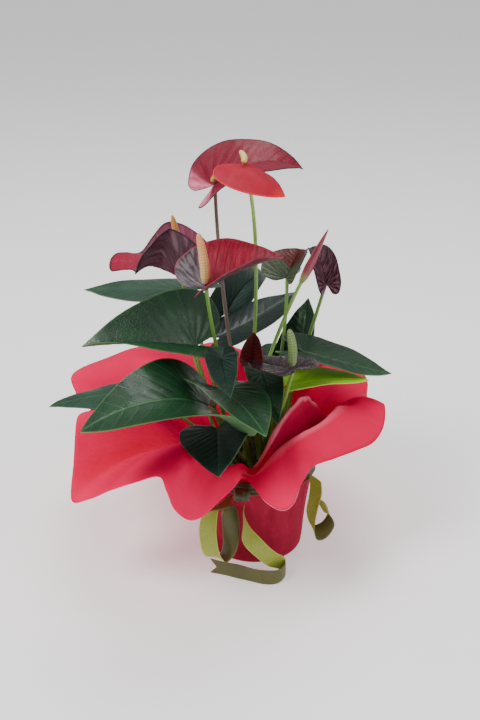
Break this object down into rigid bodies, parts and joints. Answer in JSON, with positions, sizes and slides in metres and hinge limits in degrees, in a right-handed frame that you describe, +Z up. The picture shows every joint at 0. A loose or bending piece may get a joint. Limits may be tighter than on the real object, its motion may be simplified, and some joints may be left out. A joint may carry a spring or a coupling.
{
  "type": "potted plant",
  "caption": "Flowering anthurium in a nursery pot, dressed with a gathered red sheet and an olive satin ribbon bow.",
  "frame": {"origin": "centre of the underside of the wrapped pot, on the surface it stands on", "axes": "+Z up along the pot's axis, -Y to the front, where the bow is"},
  "size_m": [0.3221, 0.3462, 0.402],
  "materials": {
    "pot_plastic": "matte nursery-pot plastic",
    "soil": "moist, crumbly",
    "sheet_red": "matte non-woven florist's sheet",
    "ribbon_olive": "satin, sheen along its length",
    "leaf_green": "glossy, waxy leaf",
    "leaf_young": "glossy young leaf",
    "stalk_green": "smooth, slightly waxy",
    "stalk_brown": "smooth, slightly waxy",
    "spathe_raspberry": "waxy, veined",
    "spathe_coral": "waxy, veined",
    "spathe_mauve": "waxy, ageing, striped underneath",
    "spathe_crimson": "waxy, veined",
    "spathe_bronze": "waxy, ageing",
    "spathe_dark": "glossy, almost black purple",
    "bud_red": "waxy, rolled",
    "spadix_cream": "matte, fine-grained",
    "spadix_green": "matte, fine-grained"
  },
  "bodies": {
    "root": {"bow_knot": "ribbon_olive", "bow_loop_left": "ribbon_olive", "bow_loop_right": "ribbon_olive", "bud_8": "bud_red", "flower_stalk_1": "stalk_brown", "flower_stalk_2": "stalk_green", "flower_stalk_3": "stalk_green", "flower_stalk_4": "stalk_green", "flower_stalk_5": "stalk_green", "flower_stalk_6": "stalk_green", "flower_stalk_7": "stalk_green", "flower_stalk_8": "stalk_green", "grow_pot": "pot_plastic", "leaf_01": "leaf_green", "leaf_02": "leaf_green", "leaf_03": "leaf_green", "leaf_04": "leaf_green", "leaf_05": "leaf_green", "leaf_06": "leaf_green", "leaf_07": "leaf_young", "leaf_08": "leaf_green", "leaf_09": "leaf_green", "leaf_10": "leaf_green", "leaf_11": "leaf_green", "leaf_12": "leaf_green", "leaf_13": "leaf_green", "leaf_14": "leaf_green", "petiole_01": "stalk_green", "petiole_02": "stalk_green", "petiole_03": "stalk_green", "petiole_04": "stalk_green", "petiole_05": "stalk_green", "petiole_06": "stalk_green", "petiole_07": "stalk_green", "petiole_08": "stalk_green", "petiole_09": "stalk_green", "petiole_10": "stalk_green", "petiole_11": "stalk_green", "petiole_12": "stalk_green", "petiole_13": "stalk_green", "petiole_14": "stalk_green", "potting_soil": "soil", "ribbon_band": "ribbon_olive", "ribbon_tail": "ribbon_olive", "spadix_1": "spadix_cream", "spadix_2": "spadix_cream", "spadix_3": "spadix_cream", "spadix_4": "spadix_cream", "spadix_5": "spadix_green", "spadix_6": "spadix_green", "spadix_7": "spadix_green", "spathe_1": "spathe_raspberry", "spathe_2": "spathe_coral", "spathe_3": "spathe_mauve", "spathe_4": "spathe_crimson", "spathe_5": "spathe_bronze", "spathe_6": "spathe_dark", "spathe_7": "spathe_dark", "wrap_sheet": "sheet_red"}
  },
  "joints": []
}
